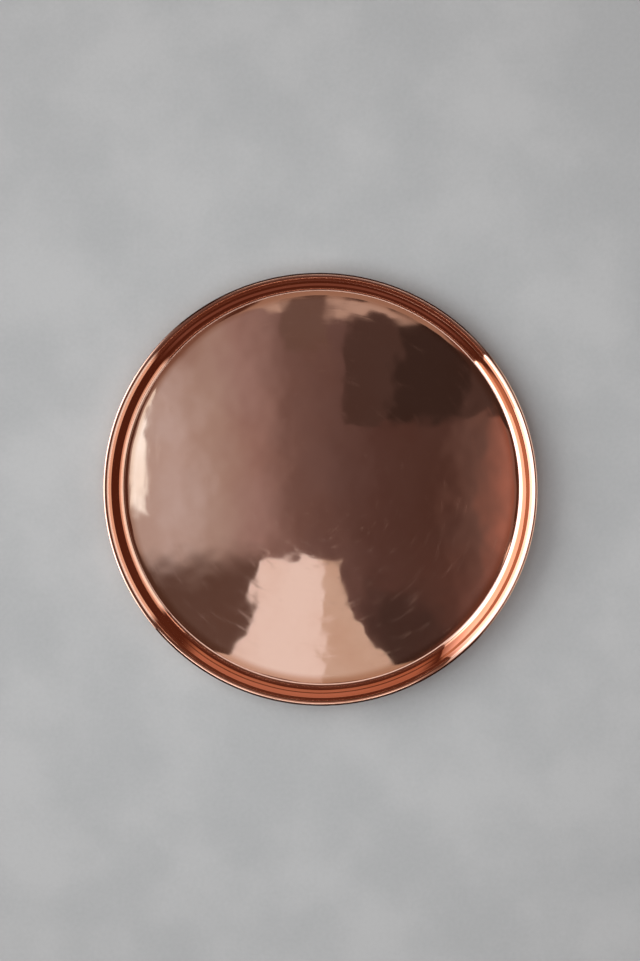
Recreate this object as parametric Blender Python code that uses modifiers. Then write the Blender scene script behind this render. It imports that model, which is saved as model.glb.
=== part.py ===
"""Round copper serving tray with a curved, flared wall and a wired edge.

The object is two pieces. The pan is one copper sheet: a slightly crowned floor, a wall that
curves up from it and steepens to a sharp shoulder, a flare above the shoulder, and an edge
that rolls over and curls round the rim wire. The rim wire is a steel hoop with butted ends,
held inside the curl.

Units are metres and +Z is up. The origin is the centre of the ring that the tray stands on.
"""

import math

import bmesh
import bpy
from mathutils import Vector

# Driving dimensions
OUTER_RADIUS = 0.2000
SHEET = 0.0008
BEAD_RADIUS = 0.0018
WIRE_GAP = 0.0003

# Floor: a shallow crown inside a flat ring, which is what the tray stands on
CROWN_RISE = 0.0008
CROWN_RADIUS = 0.1500
CROWN_SEGMENTS = 3

# The bend from the floor up to the curl, as arcs that follow on from one another. Each has the
# slope that it ends at, its width seen from above, and its number of facets.
BENDS = {
    "floor_edge": (math.radians(6.0), 0.00170, 1),
    "foot_crease": (math.radians(32.0), 0.00060, 2),
    "fillet": (math.radians(48.0), 0.00130, 2),
    "lower_wall": (math.radians(66.0), 0.00240, 2),
    "upper_wall": (math.radians(78.0), 0.00445, 4),
    "shoulder": (math.radians(64.0), 0.00040, 1),
    "flare": (math.radians(60.0), 0.00135, 1),
    "roll": (math.radians(25.0), 0.00274, 3),
}

# The curl carries on from the roll, goes over the wire and stops short of the wall's back
CURL_START = BENDS["roll"][0]
CURL_END = math.radians(-150.0)
CURL_SEGMENTS = 11

# How finely the turned pieces are faceted
TURN_STEPS = 80
WIRE_BEVEL_RESOLUTION = 2

# The wire hoop's ends butt together with this much of a turn between them
WIRE_BUTT_ANGLE = math.radians(85.0)
WIRE_BUTT_GAP = math.radians(0.4)

COPPER = (0.860, 0.470, 0.350)
STEEL = (0.520, 0.530, 0.550)


def clear_scene():
    for old in list(bpy.data.objects):
        bpy.data.objects.remove(old)


def make_collection(name):
    collection = bpy.data.collections.new(name)
    bpy.context.scene.collection.children.link(collection)
    return collection


def make_metal(name, colour, roughness):
    material = bpy.data.materials.new(name)
    material.use_nodes = True
    shader = material.node_tree.nodes["Principled BSDF"]
    shader.inputs["Base Color"].default_value = (*colour, 1.0)
    shader.inputs["Metallic"].default_value = 1.0
    shader.inputs["Roughness"].default_value = roughness
    return material


def along(angle, length):
    """A step of this length in the profile plane, at this angle from level."""
    return Vector((math.cos(angle), math.sin(angle))) * length


def bend(start, slope, end_slope, width, facets):
    """Points of the arc that leaves start at one slope and reaches the end slope over a width."""
    radius = width / (math.sin(end_slope) - math.sin(slope))
    points = []
    for i in range(1, facets + 1):
        angle = slope + (end_slope - slope) * i / facets
        across = radius * (math.sin(angle) - math.sin(slope))
        rise = radius * (math.cos(slope) - math.cos(angle))
        points.append(start + Vector((across, rise)))
    return points


def floor_and_wall():
    """The polished side from the flat ring's outer edge to the start of the curl."""
    wall_width = sum(width for end_slope, width, facets in BENDS.values())
    wall_end = OUTER_RADIUS - BEAD_RADIUS - BEAD_RADIUS * math.sin(CURL_START)
    points = [Vector((wall_end - wall_width, SHEET))]
    slope = 0.0
    for end_slope, width, facets in BENDS.values():
        points += bend(points[-1], slope, end_slope, width, facets)
        slope = end_slope
    return points


def bead_centre():
    return floor_and_wall()[-1] + along(CURL_START - math.pi / 2, BEAD_RADIUS)


def pan_profile():
    """The sheet's polished side, from the axis out over the floor, up and round the curl."""
    points = []
    for i in range(CROWN_SEGMENTS + 1):
        share = i / CROWN_SEGMENTS
        rise = CROWN_RISE * (1 - share ** 2)
        points.append(Vector((CROWN_RADIUS * share, SHEET + rise)))
    points += floor_and_wall()[:-1]
    centre = bead_centre()
    start = math.pi / 2 + CURL_START
    for i in range(CURL_SEGMENTS + 1):
        angle = start + (CURL_END - start) * i / CURL_SEGMENTS
        points.append(centre + along(angle, BEAD_RADIUS))
    return points


def make_pan(collection, material):
    mesh = bpy.data.meshes.new("tray_pan")
    outline = bmesh.new()
    line = [outline.verts.new((p.x, 0.0, p.y)) for p in pan_profile()]
    for start, end in zip(line, line[1:]):
        outline.edges.new((start, end))
    outline.to_mesh(mesh)
    outline.free()
    mesh.materials.append(material)
    pan = bpy.data.objects.new("tray_pan", mesh)
    collection.objects.link(pan)

    turn = pan.modifiers.new("turn", "SCREW")
    turn.axis = "Z"
    turn.steps = TURN_STEPS
    turn.render_steps = TURN_STEPS
    turn.use_merge_vertices = True
    turn.merge_threshold = 0.00005
    turn.use_smooth_shade = True

    sheet = pan.modifiers.new("sheet", "SOLIDIFY")
    sheet.thickness = SHEET
    sheet.offset = -1.0
    sheet.use_even_offset = True
    return pan


def make_rim_wire(collection, material):
    centre = bead_centre()
    curve = bpy.data.curves.new("rim_wire", "CURVE")
    curve.dimensions = "3D"
    curve.bevel_depth = BEAD_RADIUS - SHEET - WIRE_GAP
    curve.bevel_resolution = WIRE_BEVEL_RESOLUTION
    curve.use_fill_caps = True
    spline = curve.splines.new("POLY")
    spline.points.add(TURN_STEPS)
    first = WIRE_BUTT_ANGLE + WIRE_BUTT_GAP / 2
    sweep = math.tau - WIRE_BUTT_GAP
    for i, point in enumerate(spline.points):
        angle = first + sweep * i / TURN_STEPS
        x, y = centre.x * math.cos(angle), centre.x * math.sin(angle)
        point.co = (x, y, centre.y, 1.0)
    curve.materials.append(material)
    wire = bpy.data.objects.new("rim_wire", curve)
    collection.objects.link(wire)
    return wire


def main():
    clear_scene()
    tray = make_collection("copper_tray")
    make_pan(tray, make_metal("polished_copper", COPPER, 0.12))
    make_rim_wire(tray, make_metal("steel_wire", STEEL, 0.35))


main()
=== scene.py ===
"""Looks of the round copper tray: a polished, lightly planished pan and the wire in its edge."""
import math

import bpy
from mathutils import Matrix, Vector, noise


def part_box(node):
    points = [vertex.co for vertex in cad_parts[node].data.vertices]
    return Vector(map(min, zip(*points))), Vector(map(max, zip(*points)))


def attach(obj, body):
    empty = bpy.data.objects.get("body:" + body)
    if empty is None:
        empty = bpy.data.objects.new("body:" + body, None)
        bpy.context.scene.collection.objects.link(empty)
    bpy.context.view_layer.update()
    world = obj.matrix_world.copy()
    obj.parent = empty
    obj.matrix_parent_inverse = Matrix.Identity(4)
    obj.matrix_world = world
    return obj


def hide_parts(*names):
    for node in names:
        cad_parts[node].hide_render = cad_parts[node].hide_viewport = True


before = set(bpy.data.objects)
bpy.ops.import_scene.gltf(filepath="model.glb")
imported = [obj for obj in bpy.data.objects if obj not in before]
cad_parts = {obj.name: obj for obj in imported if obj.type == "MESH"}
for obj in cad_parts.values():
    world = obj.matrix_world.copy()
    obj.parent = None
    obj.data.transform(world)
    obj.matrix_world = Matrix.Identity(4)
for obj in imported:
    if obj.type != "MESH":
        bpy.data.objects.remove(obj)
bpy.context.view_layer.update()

# ---------------------------------------------------------------------------------------------
# Sizes, in metres. The outer radius and height come from the frame, the rest from the CAD.
# ---------------------------------------------------------------------------------------------
PAN_HIGH_CORNER = Vector(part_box("tray_pan")[1])
OUTER_RADIUS = PAN_HIGH_CORNER.x
RIM_HEIGHT = PAN_HIGH_CORNER.z
SHEET = 0.0008
BEAD_RADIUS = 0.0018
CROWN_RISE = 0.0008
CROWN_RADIUS = 0.1500

# Arcs from the flat ring up to the curl: end slope, width seen from above, number of facets.
# The first is a slight dip at the wall's foot, which the tray stands on.
BENDS = (
    (math.radians(-2.0), 0.00420, 14),
    (math.radians(6.0), 0.00050, 6),
    (math.radians(32.0), 0.00060, 6),
    (math.radians(48.0), 0.00130, 8),
    (math.radians(66.0), 0.00240, 12),
    (math.radians(78.0), 0.00445, 16),
    (math.radians(64.0), 0.00040, 6),
    (math.radians(60.0), 0.00135, 4),
    (math.radians(25.0), 0.00274, 16),
)
DIP_DEPTH = 0.00008
CURL_SLOPE = BENDS[-1][0]
CURL_END = math.radians(-150.0)
CURL_SEGMENTS = 40
LIP_SEGMENTS = 6
FLOOR_RINGS = 110
TURN_STEPS = 720

# The floor starts this share of its radius from the axis, so that a small disc closes it
FLOOR_HOLE_SHARE = 0.0005

# Hand finishing of the sheet: size and depth of the soft planishing marks and of the broad
# swells under them. The wall is stiffer than the floor, and takes less of both.
PLANISH_SIZE = 0.026
PLANISH_DEPTH = 0.000050
FINE_MARK_RATIO = 2.3
FINE_MARK_SHARE = 0.25
SWELL_SIZE = 0.110
SWELL_DEPTH = 0.000050
SWELL_OFFSET = Vector((3.1, 7.7, 0.0))
WALL_START = 0.178
WALL_FADE = 0.006
WALL_STIFFNESS = 0.75


# ---------------------------------------------------------------------------------------------
# The pan's section
# ---------------------------------------------------------------------------------------------
def along(angle, length):
    """A step of this length in the section's plane, at this angle from level."""
    return Vector((math.cos(angle), math.sin(angle))) * length


def bend(start, slope, end_slope, width, facets):
    """(point, slope) pairs along an arc that goes from one slope to another over a width."""
    radius = width / (math.sin(end_slope) - math.sin(slope))
    pairs = []
    for i in range(1, facets + 1):
        angle = slope + (end_slope - slope) * i / facets
        across = radius * (math.sin(angle) - math.sin(slope))
        rise = radius * (math.cos(slope) - math.cos(angle))
        pairs.append((start + Vector((across, rise)), angle))
    return pairs


def floor_side(ring_end):
    """(point, slope) pairs of the crowned floor, from the axis to the end of its flat ring."""
    pairs = []
    for i in range(FLOOR_RINGS + 1):
        r = ring_end * (FLOOR_HOLE_SHARE + (1 - FLOOR_HOLE_SHARE) * i / FLOOR_RINGS)
        share = min(r / CROWN_RADIUS, 1.0)
        crown = CROWN_RISE * (1 - share ** 2) ** 2
        slope = -4 * CROWN_RISE * share * (1 - share ** 2) / CROWN_RADIUS
        pairs.append((Vector((r, SHEET + DIP_DEPTH + crown)), math.atan(slope)))
    return pairs


def polished_side():
    """(point, slope) pairs of the sheet's polished side, from the axis to the end of the curl."""
    wall_width = sum(width for end_slope, width, facets in BENDS)
    curl_start = OUTER_RADIUS - BEAD_RADIUS - BEAD_RADIUS * math.sin(CURL_SLOPE)
    pairs = floor_side(curl_start - wall_width)
    slope = 0.0
    for end_slope, width, facets in BENDS:
        pairs += bend(pairs[-1][0], slope, end_slope, width, facets)
        slope = end_slope
    centre = pairs[-1][0] + along(CURL_SLOPE - math.pi / 2, BEAD_RADIUS)
    start = math.pi / 2 + CURL_SLOPE
    for i in range(1, CURL_SEGMENTS + 1):
        angle = start + (CURL_END - start) * i / CURL_SEGMENTS
        pairs.append((centre + along(angle, BEAD_RADIUS), angle - math.pi / 2))
    return pairs


def section():
    """The whole closed section: polished side out, round the lip, and the back side in again."""
    pairs = polished_side()
    front = [point for point, slope in pairs]
    back = [point + along(slope - math.pi / 2, SHEET) for point, slope in pairs]
    lip_point, lip_slope = pairs[-1]
    lip_centre = lip_point + along(lip_slope - math.pi / 2, SHEET / 2)
    lip = []
    for i in range(1, LIP_SEGMENTS):
        angle = lip_slope + math.pi / 2 - math.pi * i / LIP_SEGMENTS
        lip.append(lip_centre + along(angle, SHEET / 2))
    return front + lip + back[::-1]


# ---------------------------------------------------------------------------------------------
# Shapes
# ---------------------------------------------------------------------------------------------
def hand_finish(x, y, r):
    """Height of the soft marks that hand planishing left in the sheet at this place."""
    spot = Vector((x, y, 0.0))
    broad_marks = noise.noise(spot / PLANISH_SIZE)
    fine_marks = noise.noise(spot / PLANISH_SIZE * FINE_MARK_RATIO)
    marks = broad_marks + FINE_MARK_SHARE * fine_marks
    swell = noise.noise(spot / SWELL_SIZE + SWELL_OFFSET)
    wall_share = min(max((r - WALL_START) / WALL_FADE, 0.0), 1.0)
    return (marks * PLANISH_DEPTH + swell * SWELL_DEPTH) * (1 - WALL_STIFFNESS * wall_share)


def turned_verts(points):
    """The section's points at every step of the turn, with the hand finish in their heights."""
    verts = []
    for step in range(TURN_STEPS):
        turn = math.tau * step / TURN_STEPS
        c, s = math.cos(turn), math.sin(turn)
        for point in points:
            x, y = point.x * c, point.x * s
            z = max(point.y + hand_finish(x, y, point.x), 0.0)
            verts.append((x, y, z))
    return verts


def turned_faces(count):
    """Quads between the steps of the turn, and the two discs that close the sheet's centre."""
    faces = []
    for step in range(TURN_STEPS):
        here = step * count
        there = (step + 1) % TURN_STEPS * count
        for i in range(count - 1):
            faces.append((here + i, here + i + 1, there + i + 1, there + i))
    top = [step * count for step in range(TURN_STEPS)]
    bottom = [step * count + count - 1 for step in range(TURN_STEPS)]
    faces.append(tuple(top))
    faces.append(tuple(reversed(bottom)))
    return faces


def make_pan():
    points = section()
    mesh = bpy.data.meshes.new("copper_pan")
    mesh.from_pydata(turned_verts(points), [], turned_faces(len(points)))
    mesh.validate()
    mesh.shade_smooth()
    pan = bpy.data.objects.new("copper_pan", mesh)
    bpy.context.scene.collection.objects.link(pan)
    return pan


# ---------------------------------------------------------------------------------------------
# Materials
# ---------------------------------------------------------------------------------------------
class Nodes:
    """Short calls for adding and joining shader nodes."""

    def __init__(self, name):
        self.material = bpy.data.materials.new(name)
        self.material.use_nodes = True
        self.tree = self.material.node_tree
        self.shader = self.tree.nodes["Principled BSDF"]

    def fill(self, socket, value):
        if isinstance(value, bpy.types.NodeSocket):
            self.tree.links.new(value, socket)
        else:
            socket.default_value = value

    def add(self, kind, settings=None, inputs=None):
        node = self.tree.nodes.new(kind)
        for key, value in (settings or {}).items():
            setattr(node, key, value)
        for key, value in (inputs or {}).items():
            self.fill(node.inputs[key], value)
        return node

    def math(self, operation, a, b=0.0):
        return self.add("ShaderNodeMath", {"operation": operation}, {0: a, 1: b}).outputs[0]

    def ramp(self, value, low, high, to_low=0.0, to_high=1.0):
        """A smooth step from one value to another as the input goes from low to high."""
        inputs = {"Value": value, "From Min": low, "From Max": high,
                  "To Min": to_low, "To Max": to_high}
        settings = {"interpolation_type": "SMOOTHSTEP"}
        return self.add("ShaderNodeMapRange", settings, inputs).outputs["Result"]

    def ring(self, radius, start, full_from, full_to, end):
        """One inside a ring round the axis, and zero away from it."""
        inner = self.ramp(radius, start, full_from)
        outer = self.ramp(radius, end, full_to)
        return self.math("MULTIPLY", inner, outer)

    def mix(self, factor, a, b):
        """A colour between a and b. Colours are three numbers, or another node's output."""
        node = self.add("ShaderNodeMix", {"data_type": "RGBA"})
        self.fill(node.inputs[0], factor)
        for index, value in ((6, a), (7, b)):
            self.fill(node.inputs[index], (*value, 1.0) if isinstance(value, tuple) else value)
        return node.outputs[2]

    def noise(self, vector, scale, detail):
        inputs = {"Vector": vector, "Scale": scale, "Detail": detail}
        return self.add("ShaderNodeTexNoise", None, inputs).outputs["Fac"]

    def turned_noise(self, radius, turn, across, around, detail):
        """Noise in marks that follow the turn: this many across a metre and round a radian."""
        place = self.add("ShaderNodeCombineXYZ", None,
                         {"X": self.math("MULTIPLY", radius, across),
                          "Y": self.math("MULTIPLY", turn, around)})
        return self.noise(place.outputs[0], 1.0, detail)

    def bump(self, height, strength, distance):
        inputs = {"Height": height, "Strength": strength, "Distance": distance}
        self.connect(self.add("ShaderNodeBump", None, inputs).outputs["Normal"], "Normal")

    def connect(self, output, name):
        self.tree.links.new(output, self.shader.inputs[name])


BRIGHT_COPPER = (0.960, 0.632, 0.500)
DULL_COPPER = (0.890, 0.545, 0.410)
# A darker, redder copper for the ring over the floor's edge at the wall's foot
FOOT_RING_COPPER = (0.680, 0.350, 0.230)
# Painted highlight: the crease colour, made less metallic below, shows as a pale line standing in
# for a mirrored bright one
CREASE_HIGHLIGHT_COLOUR = (0.800, 0.500, 0.400)
# Painted shade: a near-black colour for the bead's outer half at the top and bottom
BEAD_PAINTED_SHADE = (0.12, 0.05, 0.03)
POLISH_ROUGHNESS = 0.026
FILM_ROUGHNESS = 0.015
WIPE_ROUGHNESS = 0.050
# Roughness and lost metal of the crease's painted highlight band
CREASE_HIGHLIGHT_ROUGHNESS = 0.18
CREASE_HIGHLIGHT_DULLNESS = 0.80


def polished_copper():
    n = Nodes("polished_copper")
    place = n.add("ShaderNodeTexCoord").outputs["Object"]
    split = n.add("ShaderNodeSeparateXYZ", None, {"Vector": place})
    x, y = split.outputs["X"], split.outputs["Y"]
    squares = n.math("ADD", n.math("MULTIPLY", x, x), n.math("MULTIPLY", y, y))
    radius = n.math("SQRT", squares)
    turn = n.math("ARCTAN2", y, x)

    # Tarnish: broad faint clouds. A darker, redder ring runs over the floor's outer edge up to the
    # wall's foot.
    # Painted shade: the bead's outer half is painted near black at the top and bottom, but not at
    # the two sides, where it shows lit. Painted highlight: the sharp crease at the wall's foot is
    # painted pale and less metallic at the top and bottom, standing in for the bright line it
    # mirrors there.
    side_share = n.math("DIVIDE", n.math("ABSOLUTE", y), radius)
    film = n.ramp(n.noise(place, 14.0, 4.0), 0.35, 0.75)
    foot_ring_tone = n.ring(radius, 0.1740, 0.1820, 0.1842, 0.1845)
    crease = n.ring(radius, 0.1838, 0.1842, 0.1846, 0.1850)
    # Painted highlight: the crease band at the top and bottom, not at the two sides
    painted_crease_highlight = n.math("MULTIPLY", crease, n.ramp(side_share, 0.25, 0.55))
    # Painted shade: the bead's outer half is darkened at the top and bottom, not at the two sides
    bead_ring = n.ramp(radius, 0.1980, 0.1986)
    bead_painted_shade = n.math("MULTIPLY", bead_ring, n.ramp(side_share, 0.40, 0.80))
    colour = n.mix(film, BRIGHT_COPPER, DULL_COPPER)
    colour = n.mix(foot_ring_tone, colour, FOOT_RING_COPPER)
    colour = n.mix(painted_crease_highlight, colour, CREASE_HIGHLIGHT_COLOUR)
    colour = n.mix(bead_painted_shade, colour, BEAD_PAINTED_SHADE)
    n.connect(colour, "Base Color")

    # Wiping leaves short arcs that follow the turn, and the crease's painted highlight band is
    # rougher
    wipes = n.ramp(n.turned_noise(radius, turn, 160.0, 5.0, 5.0), 0.52, 0.78)
    roughness = n.math("MULTIPLY", wipes, WIPE_ROUGHNESS)
    roughness = n.math("ADD", roughness, n.math("MULTIPLY", film, FILM_ROUGHNESS))
    roughness = n.math("ADD", roughness, n.math("MULTIPLY", painted_crease_highlight, CREASE_HIGHLIGHT_ROUGHNESS))
    n.connect(n.math("ADD", roughness, POLISH_ROUGHNESS), "Roughness")

    # Lathe polish leaves very fine rings
    rings = n.turned_noise(radius, turn, 900.0, 3.0, 4.0)
    n.bump(rings, 0.004, 0.0002)
    # Painted highlight: the crease band loses most of its metal, so it shows pale at the top and
    # bottom
    n.connect(n.math("SUBTRACT", 1.0, n.math("MULTIPLY", painted_crease_highlight, CREASE_HIGHLIGHT_DULLNESS)), "Metallic")
    return n.material


def drawn_steel():
    n = Nodes("drawn_steel")
    place = n.add("ShaderNodeTexCoord").outputs["Object"]
    speckle = n.noise(place, 900.0, 3.0)
    spots = n.ramp(speckle, 0.4, 0.7)
    n.connect(n.mix(spots, (0.50, 0.51, 0.53), (0.34, 0.30, 0.27)), "Base Color")
    n.connect(n.ramp(speckle, 0.3, 0.8, 0.28, 0.50), "Roughness")
    n.shader.inputs["Metallic"].default_value = 1.0
    return n.material


# ---------------------------------------------------------------------------------------------
# Studio: floor, cards that the copper mirrors, lights and camera
# ---------------------------------------------------------------------------------------------
CAMERA_FOOT = Vector((0.095, 0.160))
CAMERA_HEIGHT = 1.70
CAMERA_AIM = Vector((0.0010, 0.0104, RIM_HEIGHT))
CAMERA_LENS = 68.7
SENSOR_HEIGHT = 36.0

FLOOR_SIZE = 8.0
FLOOR_DROP = 0.0002

CARD_DISTANCE = 1.6
CARD_SEGMENTS = 24
CEILING = 2.5
CEILING_LAYER = 0.02


def pale_floor():
    bpy.ops.mesh.primitive_plane_add(size=FLOOR_SIZE, location=(0.0, 0.0, -FLOOR_DROP))
    floor = bpy.context.object
    floor.name = "studio_floor"
    n = Nodes("pale_plaster")
    place = n.add("ShaderNodeTexCoord").outputs["Object"]
    mottle = n.ramp(n.noise(place, 9.0, 6.0), 0.35, 0.70)
    grain = n.noise(place, 260.0, 4.0)
    tone = n.math("ADD", n.math("MULTIPLY", mottle, 0.7), n.math("MULTIPLY", grain, 0.6))
    n.connect(n.mix(tone, (0.391, 0.419, 0.432), (0.475, 0.503, 0.515)), "Base Color")
    n.bump(grain, 0.15, 0.0004)
    n.shader.inputs["Roughness"].default_value = 0.85
    floor.data.materials.append(n.material)


def glow_material(name, tones, soft):
    """Light from a card: tones run along it, and its edges fade out over these shares of it."""
    n = Nodes(name)
    n.tree.nodes.remove(n.shader)
    place = n.add("ShaderNodeTexCoord").outputs["UV"]
    split = n.add("ShaderNodeSeparateXYZ", None, {"Vector": place})
    along_card, up_card = split.outputs["X"], split.outputs["Y"]
    ramp_node = n.add("ShaderNodeValToRGB", None, {"Fac": along_card})
    stops = ramp_node.color_ramp.elements
    while len(stops) < len(tones):
        stops.new(1.0)
    for stop, (share, colour) in zip(stops, tones):
        stop.position = share
        stop.color = (*colour, 1.0)
    emission = n.add("ShaderNodeEmission", None, {"Color": ramp_node.outputs["Color"]})
    cover = 1.0
    for axis, width in zip((along_card, up_card), soft):
        if width:
            edge = n.math("MINIMUM", axis, n.math("SUBTRACT", 1.0, axis))
            cover = n.math("MULTIPLY", n.ramp(edge, 0.0, width), cover)
    clear = n.add("ShaderNodeBsdfTransparent")
    both = n.add("ShaderNodeMixShader", None,
                 {0: cover, 1: clear.outputs[0], 2: emission.outputs[0]})
    n.tree.links.new(both.outputs[0], n.tree.nodes["Material Output"].inputs["Surface"])
    return n.material


def card(name, low_edge, high_edge, tones, soft):
    """A glowing card between two lines of points, seen only in reflections."""
    count = len(low_edge)
    faces = [(i, i + 1, count + i + 1, count + i) for i in range(count - 1)]
    mesh = bpy.data.meshes.new(name)
    mesh.from_pydata([*low_edge, *high_edge], [], faces)
    uv = mesh.uv_layers.new(name="card")
    for loop, spot in zip(mesh.loops, uv.data):
        spot.uv = (loop.vertex_index % count / (count - 1), loop.vertex_index // count)
    mesh.materials.append(glow_material(name, tones, soft))
    obj = bpy.data.objects.new(name, mesh)
    bpy.context.scene.collection.objects.link(obj)
    obj.visible_camera = False
    obj.visible_diffuse = False
    obj.visible_shadow = False


def standing_card(name, start, end, low, high, tones, soft=(0.0, 0.0)):
    """A curved card round the tray from one azimuth to another and up between two elevations."""
    edges = []
    for elevation in (low, high):
        height = CARD_DISTANCE * math.tan(math.radians(elevation))
        edge = []
        for i in range(CARD_SEGMENTS + 1):
            azimuth = math.radians(start + (end - start) * i / CARD_SEGMENTS)
            edge.append((CARD_DISTANCE * math.cos(azimuth), CARD_DISTANCE * math.sin(azimuth),
                         height))
        edges.append(edge)
    card(name, *edges, tones, soft)


def ceiling_card(name, left, right, near, far, tones, soft=(0.0, 0.0), spread=(0.0, 0.0), layer=0):
    """A level card over the tray, measured from where a flat tray would mirror the camera.

    Spread widens its near edge, and higher layers hang in front of lower ones.
    """
    height = CEILING - layer * CEILING_LAYER
    x, y = -CAMERA_FOOT * CEILING / CAMERA_HEIGHT
    near_left, near_right = x + left - spread[0], x + right + spread[1]
    near_edge = [(near_left, y + near, height), (near_right, y + near, height)]
    far_edge = [(x + left, y + far, height), (x + right, y + far, height)]
    card(name, near_edge, far_edge, tones, soft)


def plain(*colour):
    """One tone over the whole card."""
    return [(0.0, colour), (1.0, colour)]


def white(level):
    return plain(level, level, level)


# What stands round the tray, in degrees: azimuths from the +X axis, and elevations. The left
# (key) and right (fill) windows reach down to the floor, and each end of the room has a dim
# wall and, high up, a bright ring.
LEFT_SIDE = (222, 135)
LEFT_WINDOW = (208, 135)
LEFT_WINDOW_END = (222, 208)
RIGHT_SIDE = (-49, 37)
BACK_SIDE = (135, 45)
FRONT_SIDE = (222, 313)
BACK_RING_SPAN = (132, 35)
FRONT_RING_SPAN = (225, 318)
DAYLIGHT = (2.20, 2.30, 2.60)
FOOT_LIGHT = (4.5, 4.5, 4.5)


def make_side_cards():
    foot_tones = [(0.0, FOOT_LIGHT), (0.86, FOOT_LIGHT), (1.0, (0.9, 0.7, 0.6))]
    key_tones = [(0.0, DAYLIGHT), (0.84, DAYLIGHT), (1.0, (0.50, 0.36, 0.30))]
    standing_card("key_card_foot", *LEFT_SIDE, 0, 20, foot_tones)
    standing_card("key_card", *LEFT_WINDOW, 20, 51, key_tones)
    standing_card("key_card_end", *LEFT_WINDOW_END, 20, 51, white(1.3))
    standing_card("left_wall", *LEFT_SIDE, 51.3, 67, plain(0.72, 0.53, 0.42), (0.05, 0.0))
    standing_card("fill_card_foot", *RIGHT_SIDE, 0, 10, white(1.15), (0.05, 0.0))
    standing_card("fill_card", *RIGHT_SIDE, 10, 34, plain(0.84, 0.82, 0.78), (0.05, 0.0))


def make_end_cards():
    standing_card("back_wall_low", *BACK_SIDE, 34, 42, plain(0.54, 0.37, 0.30), (0.10, 0.1))
    standing_card("back_wall_high", *BACK_SIDE, 43, 61, plain(0.56, 0.38, 0.32), (0.10, 0.1))
    standing_card("front_wall", *FRONT_SIDE, 47, 57, plain(0.26, 0.18, 0.18), (0.15, 0.1))
    standing_card("back_ring", *BACK_RING_SPAN, 63, 80, white(2.8), (0.02, 0.0))
    standing_card("front_ring", *FRONT_RING_SPAN, 70, 79, white(3.2), (0.02, 0.0))


# How far each ceiling card reaches to the left, right, near and far, and its tone
ROOM = (-0.509, 0.560, -0.697, 0.453)
ROOM_TONES = [
    (0.114, (0.460, 0.440, 0.450)),
    (0.146, (0.500, 0.500, 0.530)),
    (0.212, (0.385, 0.345, 0.335)),
    (0.302, (0.306, 0.238, 0.238)),
    (0.405, (0.165, 0.115, 0.110)),
    (0.517, (0.128, 0.088, 0.086)),
    (0.625, (0.090, 0.055, 0.051)),
    (0.760, (0.077, 0.046, 0.041)),
    (0.818, (0.133, 0.088, 0.080)),
    (0.892, (0.360, 0.175, 0.140)),
    (0.940, (0.300, 0.200, 0.190)),
]
PEACH = plain(0.79, 0.80, 0.83)
TAN = plain(0.57, 0.51, 0.455)
WARM_GREY = plain(0.45, 0.37, 0.33)


def make_room_cards():
    """The ceiling, from light on the left to dark on the right, and its shaded parts."""
    ceiling_card("room_tones", *ROOM, ROOM_TONES)
    ceiling_card("left_dim", -0.659, -0.239, 0.203, 0.653, plain(0.27, 0.19, 0.17),
                 (0.2, 0.4), layer=1)
    ceiling_card("left_shade", -0.659, -0.129, -0.747, -0.120, plain(0.103, 0.068, 0.058),
                 (0.10, 0.18), layer=1)
    ceiling_card("right_shade", 0.091, 0.361, -0.597, -0.217, plain(0.050, 0.032, 0.029),
                 (0.25, 0.25), layer=1)
    ceiling_card("right_glow", 0.220, 0.850, -0.800, -0.080, plain(0.155, 0.080, 0.068),
                 (0.35, 0.30), layer=2)


def make_beam_cards():
    ceiling_card("dark_beam", 0.061, 0.691, 0.171, 0.412, plain(0.070, 0.047, 0.043),
                 (0.025, 0.04), layer=1)
    ceiling_card("dark_beam_end", 0.171, 0.351, 0.153, 0.410, plain(0.040, 0.027, 0.024),
                 (0.15, 0.15), layer=2)
    ceiling_card("back_beam", -0.090, 0.035, 0.330, 0.462, plain(0.14, 0.10, 0.09),
                 (0.2, 0.12), layer=2)


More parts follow.
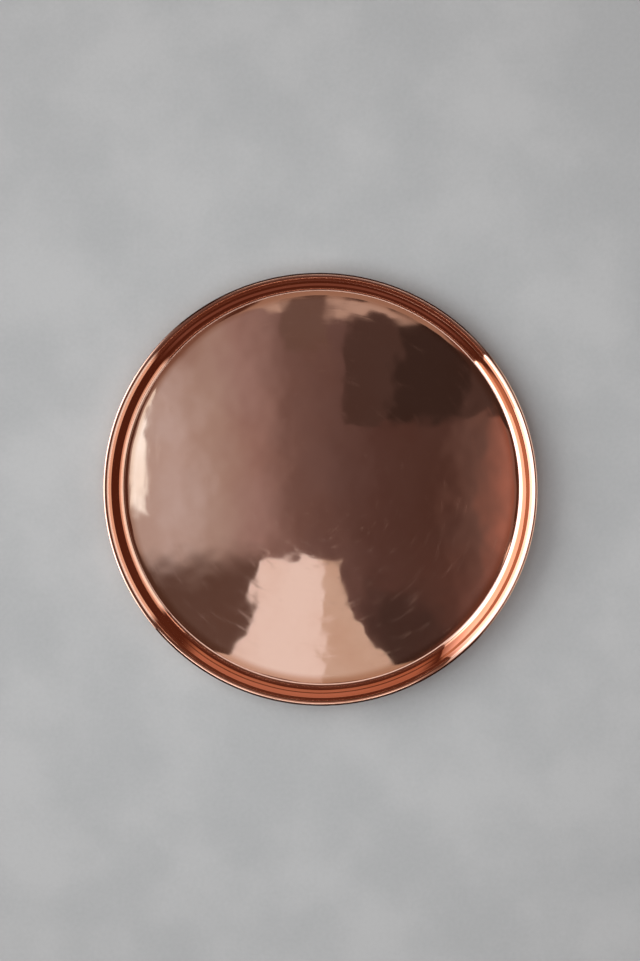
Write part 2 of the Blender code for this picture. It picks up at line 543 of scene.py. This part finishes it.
def make_window_cards():
    ceiling_card("left_window", -0.445, -0.396, -0.052, 0.270, plain(1.10, 1.35, 1.46),
                 (0.02, 0.06), layer=2)
    ceiling_card("front_window", -0.169, 0.010, -0.330, -0.190, PEACH, layer=3)
    ceiling_card("front_window_low", -0.169, 0.010, -0.590, -0.330, PEACH,
                 spread=(0.24, 0.0), layer=3)
    ceiling_card("front_window_end", 0.010, 0.060, -0.285, -0.190, TAN, layer=3)
    ceiling_card("front_window_end_low", 0.010, 0.060, -0.590, -0.285, TAN,
                 spread=(0.0, 0.275), layer=3)
    ceiling_card("back_window", -0.209, 0.271, 0.400, 1.003, WARM_GREY, (0.08, 0.03), layer=1)
    ceiling_card("back_window_end", 0.150, 0.420, 0.378, 0.600, WARM_GREY, (0.30, 0.08), layer=3)


def area_light(name, place, size, power, colour):
    """A soft light that shines on the tray's centre and that the copper doesn't mirror."""
    data = bpy.data.lights.new(name, "AREA")
    data.shape = "RECTANGLE"
    data.size, data.size_y = size
    data.energy = power
    data.color = colour
    light = bpy.data.objects.new(name, data)
    light.location = place
    light.rotation_euler = (-Vector(place)).to_track_quat("-Z", "Y").to_euler()
    light.visible_glossy = False
    bpy.context.scene.collection.objects.link(light)


def make_lights():
    area_light("key_light", (-6.16, 2.12, 4.8), (10.8, 5.4), 640.0, (1.0, 0.985, 0.96))
    area_light("soft_top", (-0.02, -0.06, 1.15), (1.1, 1.1), 8.0, (0.95, 0.985, 1.0))


def make_world():
    world = bpy.data.worlds.new("studio")
    world.use_nodes = True
    background = world.node_tree.nodes["Background"]
    background.inputs["Color"].default_value = (0.112, 0.052, 0.038, 1.0)
    bpy.context.scene.world = world


def make_camera():
    data = bpy.data.cameras.new("camera")
    data.sensor_fit = "VERTICAL"
    data.sensor_height = SENSOR_HEIGHT
    data.lens = CAMERA_LENS
    camera = bpy.data.objects.new("camera", data)
    camera.location = (*CAMERA_FOOT, CAMERA_HEIGHT)
    look = CAMERA_AIM - camera.location
    camera.rotation_euler = Vector((0.0, 0.0, -1.0)).rotation_difference(look).to_euler()
    bpy.context.scene.collection.objects.link(camera)
    bpy.context.scene.camera = camera


def make_studio():
    bpy.context.scene.view_settings.view_transform = "Standard"
    make_camera()
    make_world()
    make_lights()
    make_side_cards()
    make_end_cards()
    make_room_cards()
    make_beam_cards()
    make_window_cards()
    pale_floor()


def make_tray():
    pan = make_pan()
    pan.data.materials.append(polished_copper())
    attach(pan, "root")
    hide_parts("tray_pan")

    wire = bpy.data.objects["rim_wire"]
    for material_slot in wire.material_slots:
        material_slot.material = drawn_steel()


make_studio()
make_tray()
